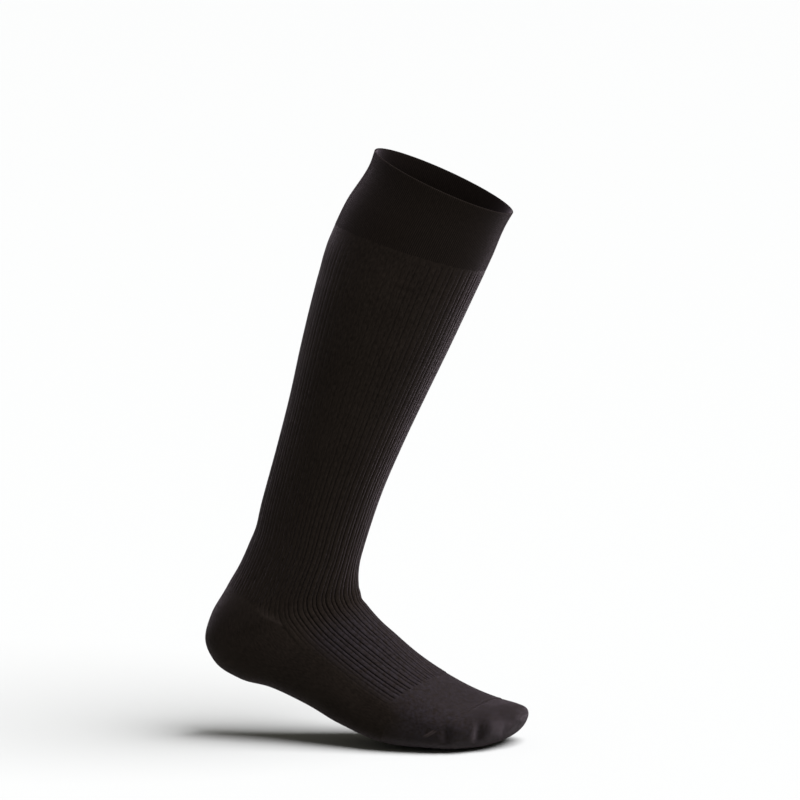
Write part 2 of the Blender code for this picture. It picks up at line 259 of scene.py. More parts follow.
def table_of_angles():
    """For each millimetre of run and each even part of the way round a half ring, the section's
    angle there. The way round is summed over short chords, then read backwards."""
    run = np.arange(0.0, LAST + TABLE_STEP, TABLE_STEP)
    ring = dict(zip(COLUMNS, ring_at(np.minimum(run, LAST)).T))
    angle = np.linspace(0.0, np.pi, 361)
    ahead, aside = section(angle[None, :], ring["sole"][:, None])
    depth = np.hypot(ring["front_x"] - ring["back_x"], ring["front_z"] - ring["back_z"])
    chord = np.hypot(np.diff(ahead) * depth[:, None], np.diff(aside) * ring["width"][:, None])
    way = np.concatenate([np.zeros((len(run), 1)), np.cumsum(chord, axis=1)], axis=1)
    way /= way[:, -1:]
    apart = 2.0 * np.arange(len(run))[:, None]
    part = np.linspace(0.0, 1.0, TABLE_PARTS + 1)[None, :]
    found = np.interp((part + apart).ravel(), (way + apart).ravel(), np.tile(angle, len(run)))
    return found.reshape(len(run), TABLE_PARTS + 1)


def angle_at(run, part):
    """Reads the table, in straight lines between its rows and between its columns."""
    row, column = run / TABLE_STEP, part * TABLE_PARTS
    r = np.clip(row.astype(int), 0, ANGLES.shape[0] - 2)
    c = np.clip(column.astype(int), 0, ANGLES.shape[1] - 2)
    down, over = row - r, column - c
    upper = ANGLES[r, c] * (1 - over) + ANGLES[r, c + 1] * over
    lower = ANGLES[r + 1, c] * (1 - over) + ANGLES[r + 1, c + 1] * over
    return upper * (1 - down) + lower * down


ANGLES = table_of_angles()
print("table of angles:", ANGLES.shape)

# %% Points of the tube, and of cloth that stands off it
RUN_STEP, WALE_STEP = 0.5, 0.003


def tube(run, wale):
    """Millimetre points for arrays of run and wale: the ring's middle, plus its half depth times
    the section's way ahead, plus its half width times the section's way aside."""
    run, wale = np.broadcast_arrays(np.asarray(run, float), np.asarray(wale, float))
    shape, run = run.shape, np.clip(run.ravel(), 0.0, LAST)
    wale = (wale.ravel() + 1.0) % 2.0 - 1.0
    ring = dict(zip(COLUMNS, ring_at(run).T))
    round_half, share = np.abs(wale) * 2, ring["front_share"]
    part = np.where(round_half < 1, round_half * share, share + (round_half - 1) * (1 - share))
    ahead, aside = section(angle_at(run, part), ring["sole"])
    across = aside * np.sign(wale) * ring["width"] / 2
    x = (ring["front_x"] + ring["back_x"]) / 2 + ahead * (ring["front_x"] - ring["back_x"]) / 2
    z = (ring["front_z"] + ring["back_z"]) / 2 + ahead * (ring["front_z"] - ring["back_z"]) / 2
    return np.stack([x + ring["lean"] * across, ring["mid_y"] + across, z], -1).reshape(shape + (3,))


def outward(run, wale):
    """The tube's outward direction, at right angles to a short step of run and one of wale."""
    after, before = np.minimum(run + RUN_STEP, LAST), np.maximum(run - RUN_STEP, 0.0)
    along = tube(after, wale) - tube(before, wale)
    around = tube(run, wale + WALE_STEP) - tube(run, wale - WALE_STEP)
    normal = np.cross(along, around)
    return normal / np.linalg.norm(normal, axis=-1, keepdims=True)


def cloth(run, wale, rise):
    """Points that stand rise millimetres out from the tube, in metres from the part's origin."""
    run, wale, rise = np.broadcast_arrays(run, wale, rise)
    return (tube(run, wale) + outward(run, wale) * rise[..., None] - ORIGIN) * MM


print("rim's front and back in mm:", tube(0.0, [0.0, 1.0]).round(1).tolist())

# %% [markdown]
# ## Seam lines
#
# Where one kind of knitting ends and the next begins, the machine leaves a clean line. The heel is
# a pocket between two such lines that meet in a point on each side of the ankle. Each line is a
# formula that gives run for each wale.

# %% Seam lines
CUFF_FRONT, CUFF_BACK = 52.0, 61.0
HEEL_APEX, HEEL_TOP, HEEL_SOLE = 364.5, 333.0, 396.0
TOE_TOP, TOE_SIDE, TOE_CORNER, TOE_SOLE = 491.5, 477.4, 487.3, 490.0
TOE_SIDE_WALE, TOE_STEP, TOE_EASE = 0.457, 0.03, 0.3


def folded(wale):
    """The wale counted from the front on either side, 0 to 1."""
    return np.abs((np.asarray(wale, float) + 1.0) % 2.0 - 1.0)


def ease(value):
    """Goes from 0 to 1 with a level start and end: three squares less two cubes."""
    value = np.clip(value, 0.0, 1.0)
    return value * value * (3 - 2 * value)


def cuff_edge(wale):
    """The band's lower edge, deeper at the back by the square of the wale."""
    return CUFF_FRONT + (CUFF_BACK - CUFF_FRONT) * folded(wale) ** 2


def heel_edge(wale, end):
    """From the apex at the side the line falls away with a cube, and runs level to its end."""
    behind = np.clip(folded(wale) * 2 - 1, 0.0, 1.0)
    return end + (HEEL_APEX - end) * (1 - behind) ** 3


def heel_top(wale):
    """The line over the heel pocket."""
    return heel_edge(wale, HEEL_TOP)


def heel_sole(wale):
    """The line under the heel pocket, in front of it on the sole."""
    return heel_edge(wale, HEEL_SOLE)


def toe_edge(wale):
    """The toe's edge: from the top it falls back by a power of the wale to the last rib on the
    side, steps forward there to the plain sole, and eases on to the sole's middle."""
    side = folded(wale)
    over = TOE_TOP + (TOE_SIDE - TOE_TOP) * np.clip(side / TOE_SIDE_WALE, 0, 1) ** 1.6
    step = (TOE_CORNER - TOE_SIDE) * ease((side - TOE_SIDE_WALE) / TOE_STEP)
    on = ease((side - TOE_SIDE_WALE - TOE_STEP) / TOE_EASE)
    return over + step + (TOE_SOLE - TOE_CORNER) * on


print("heel pocket in mm of run:", heel_top(1.0), "to", heel_sole(1.0))

# %% [markdown]
# ## Soft creases
#
# A stretched stocking hardly wrinkles, but where it turns at the ankle and over the toes the cloth
# settles in low, uneven waves. Each crease is listed one by one with its own place, length, breadth,
# height and slant. The same kind is on the side away from the camera. Over the toes the cloth dips
# a little between one toe's place and the next, so the toe has a row of such hollows.

# %% Creases, one by one
CREASES = np.array([
    # run, wale, half length in wales, half breadth in mm, height in mm, slant in mm per wale
    (350.0, 0.06, 0.20, 4.6, -0.16, 6.0),
    (362.0, -0.05, 0.26, 5.4, 0.18, -5.0),
    (374.0, 0.07, 0.22, 4.8, -0.18, 4.0),
    (384.0, -0.10, 0.18, 4.4, 0.14, -8.0),
    (341.0, -0.20, 0.15, 4.0, 0.30, 14.0),
    (356.0, 0.40, 0.12, 4.2, -0.35, 24.0),
    (349.0, -0.44, 0.13, 4.0, -0.35, -22.0),
    (318.0, 0.88, 0.20, 5.0, -0.40, 12.0),
    (306.0, -0.92, 0.22, 5.5, 0.35, -10.0),
    (296.0, 0.97, 0.18, 5.0, -0.30, 5.0),
    (412.0, 0.62, 0.12, 5.0, -0.35, -30.0),
    (420.0, -0.60, 0.13, 5.0, -0.40, 34.0),
    (452.0, 0.70, 0.14, 5.5, 0.35, 20.0),
    (446.0, -0.74, 0.12, 5.0, 0.30, -22.0),
    (74.0, 0.93, 0.20, 6.0, 0.35, 6.0),
    (96.0, -0.86, 0.16, 7.0, -0.35, -8.0),
])


def creases(run, wale):
    """Sums the creases: each is its height times a bell across it and a bell along it."""
    total = np.zeros(np.broadcast(run, wale).shape)
    for place, centre, length, breadth, height, slant in CREASES:
        aside = (wale - centre + 1.0) % 2.0 - 1.0
        across = (run - place - slant * aside) / breadth
        total += height * np.exp(-(across**2)) * np.exp(-((aside / length) ** 2))
    return total


print("creases:", len(CREASES), "deepest and highest in mm:", CREASES[:, 4].min(), CREASES[:, 4].max())

# %% [markdown]
# ## Cloth from a grid
#
# Every section is a grid of points: rows down the tube and columns round it. The grid carries a UV
# map called knit, whose U is the wale and whose V is the run, so that stitches follow the cloth,
# widen with it over the calf and turn with it at the ankle. It also carries three numbers at each
# point for the materials: furrow, how much painted shade the point gets, mostly from how deep it
# lies between ribs; thin, how far the yarn is pulled apart there; and a third, how much paler and
# greyer the cloth is painted, as painted light on the top of the foot and on the toe.

# %% Rows down the tube
def even_rows(count, close):
    """Parts of the way from one seam to the next, with one extra row close to each seam, so that
    the shading of two sections agrees where they meet."""
    inner = np.linspace(0.0, 1.0, count)[1:-1]
    return np.concatenate([[0.0, close], inner, [1.0 - close, 1.0]])


def rows_between(top, bottom, spread):
    """Rows of runs between two lines: the first line, plus each part in spread of the way to the
    second."""
    return top[None, :] + (bottom - top)[None, :] * spread[:, None]


print("parts of the way for six rows:", even_rows(6, 0.001).round(3).tolist())

# %% Grids to meshes
def mesh_from_grid(name, points, wale, run, closed, marks, material):
    """A mesh from a grid of points; closed joins the last column to the first. Each face goes down
    the tube before it goes round, so it points outwards. marks are named numbers at the points."""
    rows, columns = points.shape[:2]
    index = np.arange(rows * columns).reshape(rows, columns)
    left, right = (index, np.roll(index, -1, 1)) if closed else (index[:, :-1], index[:, 1:])
    quads = np.stack([left[:-1], left[1:], right[1:], right[:-1]], -1).reshape(-1, 4)
    span = np.append(wale, wale[:1] + 2.0) if closed else wale
    u = np.broadcast_to(span, (rows, len(span)))
    v = np.concatenate([run, run[:, :1]], 1) if closed else run
    near, far = slice(None, -1), slice(1, None)
    corners = [(near, near), (far, near), (far, far), (near, far)]
    uv = np.stack([np.stack([u[corner], v[corner]], -1) for corner in corners], -2)
    data = bpy.data.meshes.new(name)
    data.from_pydata(points.reshape(-1, 3).tolist(), [], quads.tolist())
    data.uv_layers.new(name="knit").data.foreach_set("uv", uv.astype(np.float32).ravel())
    for mark, values in marks.items():
        numbers = np.broadcast_to(values, (rows, columns)).astype(np.float32).ravel()
        data.attributes.new(mark, "FLOAT", "POINT").data.foreach_set("value", numbers)
    data.shade_smooth()
    data.materials.append(material)
    made = bpy.data.objects.new(name, data)
    bpy.context.scene.collection.objects.link(made)
    return made


def thicken(piece, thickness):
    """Gives a sheet its thickness in millimetres, inwards."""
    wall = piece.modifiers.new("thickness", "SOLIDIFY")
    wall.thickness, wall.offset = thickness * MM, -1.0


def report(piece, layers):
    """Prints a piece's triangles, two for each face in each layer, and the area of its faces."""
    areas = np.empty(len(piece.data.polygons))
    piece.data.polygons.foreach_get("area", areas)
    print(f"{piece.name}: about {len(areas) * 2 * layers} triangles, {areas.sum() * 1e4:.0f} cm2 worn")


# %% [markdown]
# ## Knit, as shader groups
#
# Knitted loops are far too many to model, so they are a bump pattern. Each column of stitches is a
# row of letter Vs: two legs that lean together. The pattern reads the knit UV map, so it has a whole
# number of columns round the stocking. It is one group with its own inputs, because the ribbed
# cloth, the plain cloth and the band use it at different scales. A second group mottles the yarn.
# Each cloth uses it three times: for clouds and specks, for streaks down the columns of stitches,
# and for patches of fuller yarn.

# %% The stitch group
def group_of(name, inputs, outputs):
    """An empty shader group with named number inputs and outputs."""
    made = bpy.data.node_groups.new(name, "ShaderNodeTree")
    for title, kind, value in inputs:
        socket = made.interface.new_socket(title, in_out="INPUT", socket_type=kind)
        if value is not None:
            socket.default_value = value
    for title in outputs:
        made.interface.new_socket(title, in_out="OUTPUT", socket_type="NodeSocketFloat")
    return made, made.nodes.new("NodeGroupInput"), made.nodes.new("NodeGroupOutput")


def number(tree, operation, *values):
    """A Math node; each value is a number or another node's output."""
    node = tree.nodes.new("ShaderNodeMath")
    node.operation = operation
    for socket, value in zip(node.inputs, values):
        if isinstance(value, (int, float)):
            socket.default_value = value
        else:
            tree.links.new(value, socket)
    return node.outputs[0]


STITCH_CUT = 0.3    # how deep the stitches of a leg are cut, as a part of its height


def stitch_group():
    """Height of V-shaped stitches. Within a column, a stitch's two legs are humps of a sine; the
    legs are cut into stitches by a sine down the column, which leads at the column's middle."""
    tree, given, put = group_of(
        "knit_stitches",
        [("Place", "NodeSocketVector", None), ("Columns", "NodeSocketFloat", 200.0),
         ("Rows per mm", "NodeSocketFloat", 1.3), ("Slant", "NodeSocketFloat", 0.9)],
        ["Height", "Hollow"],
    )
    split = tree.nodes.new("ShaderNodeSeparateXYZ")
    tree.links.new(given.outputs["Place"], split.inputs[0])
    column = number(tree, "MULTIPLY", split.outputs[0], given.outputs["Columns"])
    row = number(tree, "MULTIPLY", split.outputs[1], given.outputs["Rows per mm"])
    across = number(tree, "FRACT", column)
    off_middle = number(tree, "ABSOLUTE", number(tree, "SUBTRACT", across, 0.5))
    lean = number(tree, "MULTIPLY", off_middle, given.outputs["Slant"])
    wave = number(tree, "SINE", number(tree, "MULTIPLY", across, 2 * math.pi))
    leg = number(tree, "ABSOLUTE", wave)
    phase = number(tree, "MULTIPLY", number(tree, "ADD", row, lean), 2 * math.pi)
    beat = number(tree, "MULTIPLY_ADD", number(tree, "SINE", phase), STITCH_CUT, 1 - STITCH_CUT)
    height = number(tree, "MULTIPLY", leg, beat)
    tree.links.new(height, put.inputs["Height"])
    tree.links.new(number(tree, "SUBTRACT", 1.0, height), put.inputs["Hollow"])
    return tree


STITCHES = stitch_group()
print("stitch group:", [socket.name for socket in STITCHES.interface.items_tree])

# %% The yarn group
def yarn_group():
    """Uneven tone of the yarn: broad cloud from a coarse noise and specks from a fine one."""
    tree, given, put = group_of(
        "yarn_tone",
        [("Place", "NodeSocketVector", None), ("Cloud", "NodeSocketFloat", 28.0),
         ("Speck", "NodeSocketFloat", 700.0)],
        ["Cloud", "Speck"],
    )
    for title, detail in (("Cloud", 3.0), ("Speck", 1.0)):
        noise = tree.nodes.new("ShaderNodeTexNoise")
        noise.inputs["Detail"].default_value = detail
        tree.links.new(given.outputs["Place"], noise.inputs["Vector"])
        tree.links.new(given.outputs[title], noise.inputs["Scale"])
        tree.links.new(noise.outputs["Fac"], put.inputs[title])
    return tree


YARN = yarn_group()
print("yarn group:", [socket.name for socket in YARN.interface.items_tree])

# %% [markdown]
# ## The cloth materials
#
# All the sections are the same black yarn. What differs is how the knit takes the light: the heel
# and the band are smoother, and at the point of the heel the stretched knit is thin and paler. Shade
# is painted into the colour in the furrows between the ribs, in the hollows between stitches and just
# under the band. The instep and the toe are painted paler and greyer, as painted light where light
# falls on the top of the foot; the toe's own cloth is a little greyer too. The yarn's soft bloom, a
# pale edge where the cloth turns away, is the shader's own sheen.

# %% Groups, mixes and marks in a material
def placed(tree, group, **values):
    """Puts a group into a material with its own values."""
    node = tree.nodes.new("ShaderNodeGroup")
    node.node_tree = group
    for title, value in values.items():
        node.inputs[title.replace("_", " ")].default_value = value
    return node


def blend(tree, share, first, second):
    """A colour mix; share, first and second are numbers, colours or outputs."""
    node = tree.nodes.new("ShaderNodeMix")
    node.data_type = "RGBA"
    for socket, value in ((node.inputs[0], share), (node.inputs[6], first), (node.inputs[7], second)):
        if isinstance(value, (int, float)):
            socket.default_value = value
        elif isinstance(value, tuple):
            socket.default_value = (*value, 1.0)
        else:
            tree.links.new(value, socket)
    return node.outputs[2]


def mark_of(tree, name):
    """Reads one of the mesh's own marks."""
    node = tree.nodes.new("ShaderNodeAttribute")
    node.attribute_name = name
    return node.outputs["Fac"]


# %% Colours and scales of the yarn
DARK, PALE = (0.0050, 0.0037, 0.0025), (0.0204, 0.0157, 0.0117)
BAND_DARK, BAND_PALE = (0.0040, 0.0028, 0.0018), (0.0186, 0.0141, 0.0101)
# The first colour is the thin, stretched yarn's; the second is painted light, the grey that the lit
# instep and the toe are painted towards.
THIN, FULL_AND_PAINTED_LIGHT = (0.100, 0.078, 0.068), (0.0262, 0.0231, 0.0272)
# Painted shade: the black that the furrows between ribs and the hollows between stitches are darkened
# towards.
PAINTED_SHADE_BLACK, HOLLOW_SHADE = (0.0015, 0.0014, 0.0014), 0.40
CLOUD_START, CLOUD_TONE, SPECK_TONE, STREAK_TONE = 0.2, 0.6, 0.45, 1.65
PATCH_SCALE, PATCH_TONE, PATCH_START = 400.0, 1.1, -0.22
STREAK_SCALE = (150.0, 0.26, 1.0)    # noise cells for each wale, and for each millimetre of run
KNIT_DEPTH, SPECK_RELIEF, KNIT_GLOSS = 0.20 * MM, 1.6, 0.015
SHEEN_ROUGHNESS, SHEEN_TINT = 0.32, (1.0, 0.86, 0.92, 1.0)
print("the yarn reflects, in percent:", round(100 * DARK[1], 1), "to", round(100 * PALE[1], 1))


# %% The colour of the yarn
def yarn_colour(tree, yarn, where, knit, dark, pale, grain):
    """Dark to pale by the sum of cloud, speck and streak, then greyer in patches where the instep
    and the toe are painted paler as painted light, and then paler by the mark thin. grain says how
    strong the streaks and specks are."""
    along = tree.nodes.new("ShaderNodeMapping")
    along.inputs["Scale"].default_value = STREAK_SCALE
    streaks = placed(tree, YARN, Speck=1.0)
    tree.links.new(knit, along.inputs["Vector"])
    tree.links.new(along.outputs["Vector"], streaks.inputs["Place"])
    level = CLOUD_START - 0.5 * (SPECK_TONE + STREAK_TONE) * grain
    tone = number(tree, "MULTIPLY_ADD", yarn.outputs["Cloud"], CLOUD_TONE, level)
    tone = number(tree, "MULTIPLY_ADD", yarn.outputs["Speck"], SPECK_TONE * grain, tone)
    tone = number(tree, "MULTIPLY_ADD", streaks.outputs["Speck"], STREAK_TONE * grain, tone)
    patches = placed(tree, YARN, Speck=PATCH_SCALE)
    tree.links.new(where, patches.inputs["Place"])
    share = number(tree, "MULTIPLY_ADD", patches.outputs["Speck"], PATCH_TONE, PATCH_START)
    share = number(tree, "MULTIPLY", number(tree, "MAXIMUM", share, 0.0), mark_of(tree, "full"))
    fuller_and_painted_light = blend(tree, share, blend(tree, tone, dark, pale), FULL_AND_PAINTED_LIGHT)
    return blend(tree, mark_of(tree, "thin"), fuller_and_painted_light, THIN)


# %% Build a cloth material
def knit_material(name, dark, pale, columns, rows, bump, furrow, sheen, grain):
    """Knitted cloth: the yarn's colour, then painted shade towards black by the larger of two shares:
    the mark furrow, made uneven by the cloud, and the hollows between stitches. Stitches and
    specks are its bump."""
    made = bpy.data.materials.new(name)
    made.use_nodes = True
    tree = made.node_tree
    surface = tree.nodes["Principled BSDF"]
    uv = tree.nodes.new("ShaderNodeUVMap")
    uv.uv_map = "knit"
    where = tree.nodes.new("ShaderNodeTexCoord").outputs["Object"]
    stitches = placed(tree, STITCHES, Columns=columns, Rows_per_mm=rows)
    yarn = placed(tree, YARN)
    tree.links.new(uv.outputs["UV"], stitches.inputs["Place"])
    tree.links.new(where, yarn.inputs["Place"])
    colour = yarn_colour(tree, yarn, where, uv.outputs["UV"], dark, pale, grain)
    # Painted shade in the furrows and in the hollows between stitches, darkening the yarn towards
    # black.
    uneven = number(tree, "MULTIPLY_ADD", yarn.outputs["Cloud"], 1.1, 0.35 * furrow)
    shade = number(tree, "MULTIPLY", mark_of(tree, "furrow"), number(tree, "MINIMUM", uneven, furrow))
    painted_hollow_shade = number(tree, "MULTIPLY", stitches.outputs["Hollow"], HOLLOW_SHADE)
    colour = blend(tree, number(tree, "MAXIMUM", shade, painted_hollow_shade), colour, PAINTED_SHADE_BLACK)
    tree.links.new(colour, surface.inputs["Base Color"])
    rough = number(tree, "MULTIPLY_ADD", yarn.outputs["Speck"], 0.16, 0.70)
    tree.links.new(rough, surface.inputs["Roughness"])
    relief = tree.nodes.new("ShaderNodeBump")
    relief.inputs["Strength"].default_value = bump
    relief.inputs["Distance"].default_value = KNIT_DEPTH
    specks = number(tree, "MULTIPLY", yarn.outputs["Speck"], SPECK_RELIEF * grain)
    height = number(tree, "ADD", specks, stitches.outputs["Height"])
    tree.links.new(height, relief.inputs["Height"])
    tree.links.new(relief.outputs["Normal"], surface.inputs["Normal"])
    surface.inputs["Specular IOR Level"].default_value = KNIT_GLOSS
    surface.inputs["Sheen Weight"].default_value = sheen
    surface.inputs["Sheen Roughness"].default_value = SHEEN_ROUGHNESS
    surface.inputs["Sheen Tint"].default_value = SHEEN_TINT
    print(name, "columns round the stocking:", columns * 2)
    return made


# %% The four knits
RIB_KNIT = knit_material("rib_cloth", DARK, PALE, columns=228, rows=1.35,
                         bump=0.45, furrow=0.9, sheen=0.128, grain=0.75)
HEEL_KNIT = knit_material("heel_cloth", DARK, PALE, columns=228, rows=1.6,
                          bump=0.5, furrow=0.8, sheen=0.115, grain=0.6)
TOE_KNIT = knit_material("toe_cloth", DARK, PALE, columns=228, rows=1.5,
                         bump=0.8, furrow=0.8, sheen=0.115, grain=0.85)
BAND_KNIT = knit_material("band_cloth", BAND_DARK, BAND_PALE, columns=57, rows=1.35,
                          bump=0.4, furrow=0.95, sheen=0.17, grain=0.35)

# %% [markdown]
# ## Ribs
#
# The leg and the top of the foot are ribbed: a deep furrow, a wide rib, a shallow furrow and a
# narrow rib, thirty-eight times round the leg. The ribs run on from the leg into the foot without
# a break. They are real relief here, because they show at the edge of the stocking and cast their
# own fine shadows. They are lower where the cloth is pulled hardest, over the calf, behind the leg
# and beside the heel. At the heel and the toe they sink into the plain knit within two or three
# millimetres. Under the band they come up more slowly, over five at the front and 27 behind.

# %% The profile across one repeat of the ribs
REPEATS, SHEET, PLAIN_RISE = 38, 1.0, 0.30
RIB_TOP, CROWN, DEEP, SHALLOW = 0.62, 0.10, 0.95, 0.66
WIDE_PART, DEEP_BREADTH, SHALLOW_BREADTH = 0.58, 0.055, 0.050
RIB_POINTS = np.array([0.0, 0.045, 0.10, 0.20, 0.38, 0.48, 0.535, 0.58, 0.625, 0.69, 0.80, 0.93])


def rib_profile(across):
    """Height across one repeat: a slightly crowned top, less a narrow bell for each furrow, the
    deep one at the repeat's ends and the shallow one between the wide rib and the narrow one."""
    place = np.where(across < WIDE_PART, across / WIDE_PART, (across - WIDE_PART) / (1 - WIDE_PART))
    top = RIB_TOP - CROWN * (2 * place - 1) ** 2
    from_end = np.minimum(across, 1 - across)
    deep = DEEP * np.exp(-((from_end / DEEP_BREADTH) ** 2))
    shallow = SHALLOW * np.exp(-(((across - WIDE_PART) / SHALLOW_BREADTH) ** 2))
    return top - deep - shallow


def rib_wales(first, repeats):
    """Wales of the rib's points from first on, and their height."""
    wales = first + 2.0 / REPEATS * (np.arange(repeats)[:, None] + RIB_POINTS[None, :])
    return wales.ravel(), np.tile(rib_profile(RIB_POINTS), repeats)


print("rib heights in mm:", rib_profile(RIB_POINTS).round(2).tolist())

# %% Where the cloth is pulled and where it stands full
def stretched(run, wale):
    """Where the knit is thin and paler: a bell across the line over the heel, near its point on
    each side, which is where the cloth is pulled hardest."""
    side = folded(wale)
    near_point = ease((side - 0.485) / 0.03) * (1 - ease((side - 0.57) / 0.07))
    return 0.14 * near_point * np.exp(-(((run - heel_top(wale) + 1.2) / 2.4) ** 2))


def fullness_and_painted_light(run, wale):
    """How much paler and greyer the cloth is painted, 0 to 1: painted light over the instep, where
    light falls on the top of the foot, but not towards the sole, and over the whole toe from its
    edge on, whose own cloth is a little greyer too."""
    side = folded(wale)
    instep = ease((run - 366.0) / 36.0) * (1 - ease((side - 0.36) / 0.12))
    return np.maximum(instep, ease((run - toe_edge(wale) + 2.0) / 22.0))


def pulled_flat(run, side):
    """What is left of the ribs' height, as three factors: one falls to a half behind the lower
    leg, one to two thirds round the back of the calf, and one, a bell of the wale, to a half
    beside the heel."""
    lower_leg = 1 - 0.5 * ease((side - 0.50) / 0.25) * ease((run - 220.0) / 90.0)
    calf = 1 - 0.35 * ease((side - 0.30) / 0.25) * (1 - ease((run - 170.0) / 130.0))
    by_heel = 1 - 0.5 * np.exp(-(((side - 0.49) / 0.09) ** 2)) * ease((run - 315.0) / 45.0)
    return lower_leg * calf * by_heel


print("ribs left behind the calf and the ankle:", pulled_flat(np.array([100.0, 330.0]), 1.0).round(2))

# %% A ribbed sheet
CALF_RIBS, CALF_END, CALF_EASE = 0.46, 160.0, 200.0
FURROW_START, FURROW_FULL = 0.48, 0.55
# Painted shade at the top of the leg: darkest just under the band, fading out down the leg.
BAND_PAINTED_SHADE, BAND_SHADE_REACH = 0.26, 45.0


def ribbed_sheet(name, wale, height, run, plain, material):
    """A closed ribbed sheet; plain, 0 to 1, says where the ribs have sunk into plain knit. The
    ribs' strength grows from the calf to the ankle and is less where the cloth is pulled flat.
    The mark furrow, painted shade, grows with depth between the ribs, and just under the band
    some painted shade lies all over, fading down the leg."""
    flatter = pulled_flat(run, folded(wale)[None, :])
    below_calf = ease((run - CALF_END) / CALF_EASE)
    strength = (1 - plain) * (CALF_RIBS + (1 - CALF_RIBS) * below_calf) * flatter
    rise = height[None, :] * strength + PLAIN_RISE * (1 - strength) + creases(run, wale[None, :])
    depth = np.clip((FURROW_START - height) / FURROW_FULL, 0.0, 1.0)[None, :]
    painted_shade_under_band = BAND_PAINTED_SHADE * (1 - ease((run - cuff_edge(wale)) / BAND_SHADE_REACH))
    marks = {
        "furrow": np.maximum(strength**0.4 * flatter * depth, painted_shade_under_band),
        "thin": stretched(run, wale[None, :]),
        "full": fullness_and_painted_light(run, wale[None, :]),
    }
    points = cloth(run, wale[None, :], rise)
    made = mesh_from_grid(name, points, wale, run, True, marks, material)
    thicken(made, SHEET)
    report(made, layers=2)
    return made


# %% The leg
LEG_ROWS, FADE, BAND_FADE, BAND_FADE_BEHIND = 96, 1.6, 5.0, 22.0
wale, height = rib_wales(-0.5, REPEATS)
behind = ease((folded(wale) - 0.5) / 0.02)[None, :]
band_fade = BAND_FADE + BAND_FADE_BEHIND * ease((folded(wale) - 0.30) / 0.30)[None, :]
run = rows_between(cuff_edge(wale), heel_top(wale), even_rows(LEG_ROWS, 0.0006))
from_band = 1 - ease((run - cuff_edge(wale)) / band_fade)
from_heel = (1 - ease((heel_top(wale) - run) / (2 * FADE))) * behind
leg = ribbed_sheet("ribbed_leg", wale, height, run, np.maximum(from_band, from_heel), RIB_KNIT)

# %% [markdown]
# ## The foot
#
# On the foot the ribs go only over the instep. The sole is plain and close, so that it doesn't rub,
# and the ribs at the sides pass into it. The same grid carries both: rib points in front, evenly
# spaced points under the sole.

# %% The foot
FOOT_ROWS, SOLE_COLUMNS, SOLE_PLAIN = 84, 90, 0.85
instep, height = rib_wales(-0.5, REPEATS // 2)
sole = 0.5 + np.arange(SOLE_COLUMNS) / SOLE_COLUMNS
wale = np.concatenate([instep, sole])
height = np.concatenate([height, np.full(SOLE_COLUMNS, PLAIN_RISE)])
height[len(instep)] = RIB_TOP - DEEP
run = rows_between(heel_sole(wale), toe_edge(wale), even_rows(FOOT_ROWS, 0.001))
from_toe = 1 - ease((toe_edge(wale) - run) / FADE)
to_sole = SOLE_PLAIN * ease((folded(wale) - 0.35) / 0.14)[None, :] * ease((run - HEEL_APEX) / 30.0)
foot = ribbed_sheet("ribbed_foot", wale, height, run, np.maximum(from_toe, to_sole), RIB_KNIT)

# %% [markdown]
# ## The heel pocket
#
# The pocket is knitted back and forth in short rows, which makes its cloth turn the corner. The
# rows are dense and smooth, and where they grow longer again a line of slanted stitches runs from
# the point of the pocket towards the back. The pocket is an open sheet between its two lines.

# %% The heel's line of slanted stitches
GORE_RUN, GORE_FALL, GORE_START = 356.6, 170.0, 0.58
GORE_FROM, GORE_TO, GORE_BREADTH, GORE_DEPTH = 0.555, 0.90, 1.5, 0.14
GORE_STITCH, GORE_SLANT = 2.6 / 110.0, 3.2


def gore_run(side):
    """The line of slanted stitches: level near the pocket's point, then down towards the back by
    the square of the wale."""
    return GORE_RUN + GORE_FALL * np.clip(side - GORE_START, 0.0, 0.30) ** 2


def gore_stitches(run, side):
    """Short slanted hollows along that line: a bell across it times a sine along it, which leads
    by the distance from the line."""
    off = run - gore_run(side)
    there = ease((side - GORE_FROM) / 0.02) * ease((GORE_TO - side) / 0.12)
    beat = 0.5 + 0.5 * np.sin(2 * np.pi * (side / GORE_STITCH + off / GORE_SLANT))
    return there * beat**2 * np.exp(-((off / GORE_BREADTH) ** 2))


print("slanted stitches on each side:", round((GORE_TO - GORE_FROM) / GORE_STITCH))

# %% The heel pocket
HEEL_COLUMNS, HEEL_ROWS, HEEL_POINT = 230, 76, 0.001
turn = np.sin(np.linspace(-0.5, 0.5, HEEL_COLUMNS + 1) * np.pi)
wale = 1.0 + (0.5 - HEEL_POINT) * turn
run = rows_between(heel_top(wale), heel_sole(wale), even_rows(HEEL_ROWS, 0.002))
side = folded(wale)
slanted = gore_stitches(run, side)
over_gore = ease((gore_run(side) - run) / 3.0 + 0.5) * ease((0.93 - side) / 0.2)
rise = PLAIN_RISE + creases(run, wale[None, :]) - GORE_DEPTH * slanted
thin = np.clip(0.025 * over_gore + stretched(run, wale[None, :]), 0, 1)
# Painted shade in the hollows of the slanted stitches, through the mark furrow.
marks = {"furrow": 0.4 * slanted, "thin": thin, "full": 0.0}
points = cloth(run, wale[None, :], rise)
heel = mesh_from_grid("heel_pocket_knit", points, wale, run, False, marks, HEEL_KNIT)
thicken(heel, SHEET)
report(heel, layers=2)

# %% [markdown]
# ## The toe
#
# The toe is plain knit, closed by a linked seam over the top of the toes. The seam is a low ridge
# with a row of needle holes, and its thread ends in short pale lengths at both sides. The cloth
# lies over the toes' places and dips between them. The grid runs to the tube's last ring, and a few
# more rings round it off to a point, each smaller and further ahead, as a quarter of an oval.

